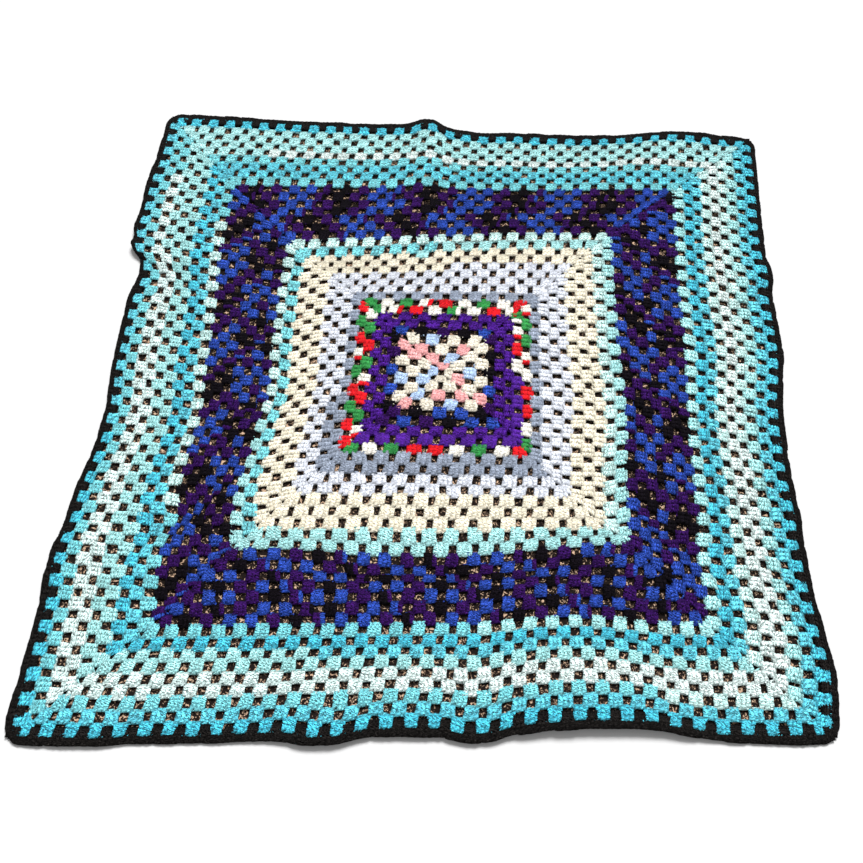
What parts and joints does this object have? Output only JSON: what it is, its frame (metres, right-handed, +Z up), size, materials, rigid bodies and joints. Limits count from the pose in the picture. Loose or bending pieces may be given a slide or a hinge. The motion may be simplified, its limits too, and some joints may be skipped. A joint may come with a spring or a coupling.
{
  "type": "granny square blanket",
  "caption": "Square crochet blanket worked in rounds from the middle out, in bands of plain and self-striping yarn with a narrow dark edging, laid flat on a floor.",
  "frame": {"origin": "on the floor, under the middle of the blanket's outline", "axes": "+Z up from the floor that the blanket lies on, +Y towards the blanket's back edge and +X to its right, as the picture looks at it"},
  "size_m": [1.0868, 1.1132, 0.015],
  "materials": {
    "centre_yarn": "matte",
    "navy_yarn": "matte",
    "purple_yarn": "matte",
    "candy_yarn": "matte",
    "grey_yarn": "matte",
    "lilac_yarn": "matte",
    "cream_yarn": "matte",
    "mint_yarn": "matte",
    "midnight_yarn": "matte",
    "ocean_yarn": "matte",
    "black_yarn": "matte"
  },
  "bodies": {
    "root": {"centre_motif": "centre_yarn", "navy_round": "navy_yarn", "purple_rounds": "purple_yarn", "candy_rounds": "candy_yarn", "grey_round": "grey_yarn", "lilac_rounds": "lilac_yarn", "cream_rounds": "cream_yarn", "mint_rounds": "mint_yarn", "midnight_rounds": "midnight_yarn", "ocean_rounds": "ocean_yarn", "black_edging": "black_yarn"}
  },
  "joints": []
}
